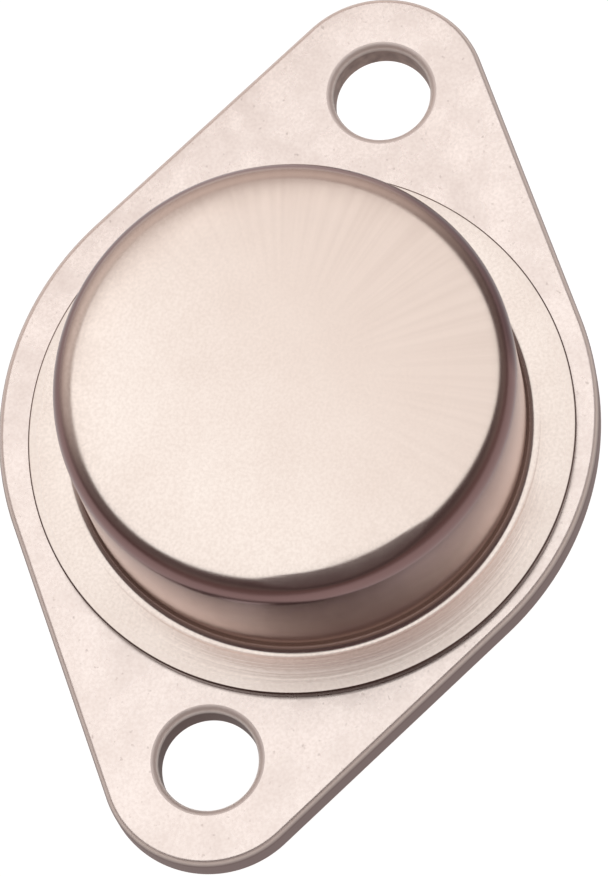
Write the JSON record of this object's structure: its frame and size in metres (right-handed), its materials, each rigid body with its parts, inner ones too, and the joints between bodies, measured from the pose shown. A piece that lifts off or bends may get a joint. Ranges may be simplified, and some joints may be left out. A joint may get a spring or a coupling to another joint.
{
  "type": "power transistor",
  "caption": "Metal-can power transistor: a drawn cap welded to a rhombic mounting flange with a bolt hole in each ear and round leads standing out below in glass seals.",
  "frame": {"origin": "midway between the mounting holes, on the seating plane of the flange's underside", "axes": "+X along the line of the mounting holes, +Z out of the cap's top; the leads point to -Z"},
  "size_m": [0.039, 0.0252, 0.0206],
  "materials": {
    "flange_nickel_plate": "satin nickel plating on stamped steel",
    "cap_nickel_plate": "satin nickel plating on drawn steel",
    "lead_nickel_iron": "drawn, tinned below the flange",
    "seal_glass": "fused glass, glossy, hardly lets light through",
    "spreader_copper": "bare copper, satin",
    "braze_alloy": "melted and set, satin",
    "die_solder_alloy": "melted and set, satin",
    "die_silicon": "polished, dark",
    "contact_aluminium": "evaporated film, satin",
    "bond_aluminium": "drawn wire, satin"
  },
  "bodies": {
    "root": {"base_bond_wire": "bond_aluminium", "base_comb": "contact_aluminium", "base_lead": "lead_nickel_iron", "base_seal": "seal_glass", "die_solder": "die_solder_alloy", "emitter_bond_wire": "bond_aluminium", "emitter_comb": "contact_aluminium", "emitter_lead": "lead_nickel_iron", "emitter_seal": "seal_glass", "heat_spreader": "spreader_copper", "mounting_flange": "flange_nickel_plate", "silicon_die": "die_silicon", "spreader_braze": "braze_alloy", "weld_cap": "cap_nickel_plate"}
  },
  "joints": []
}
